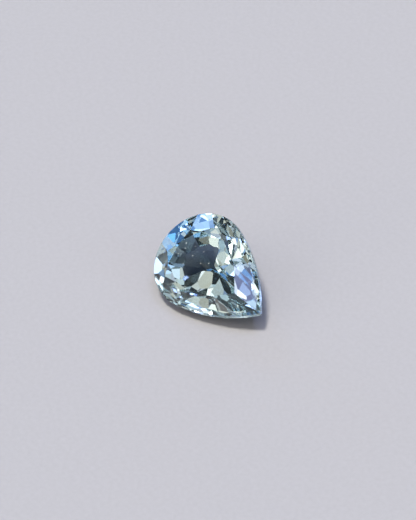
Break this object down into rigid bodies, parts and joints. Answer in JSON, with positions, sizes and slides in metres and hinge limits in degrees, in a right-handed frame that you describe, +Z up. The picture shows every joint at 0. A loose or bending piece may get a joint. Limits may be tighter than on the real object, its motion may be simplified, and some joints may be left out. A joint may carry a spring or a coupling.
{
  "type": "loose pear-cut sapphire",
  "caption": "Loose pale blue pear-cut gemstone with a faceted crown, thin girdle and stepped pavilion, lying tilted on one pavilion facet.",
  "frame": {"origin": "on the surface that the stone lies on, under the middle of its bounding box", "axes": "+Z up from that surface, +X from the round head towards the pear's tip as seen from above, +Y square to both, towards the stone's raised side"},
  "size_m": [0.0076, 0.0048, 0.0038],
  "materials": {
    "sapphire": "polished, clear"
  },
  "bodies": {
    "root": {"sapphire": "sapphire"}
  },
  "joints": []
}
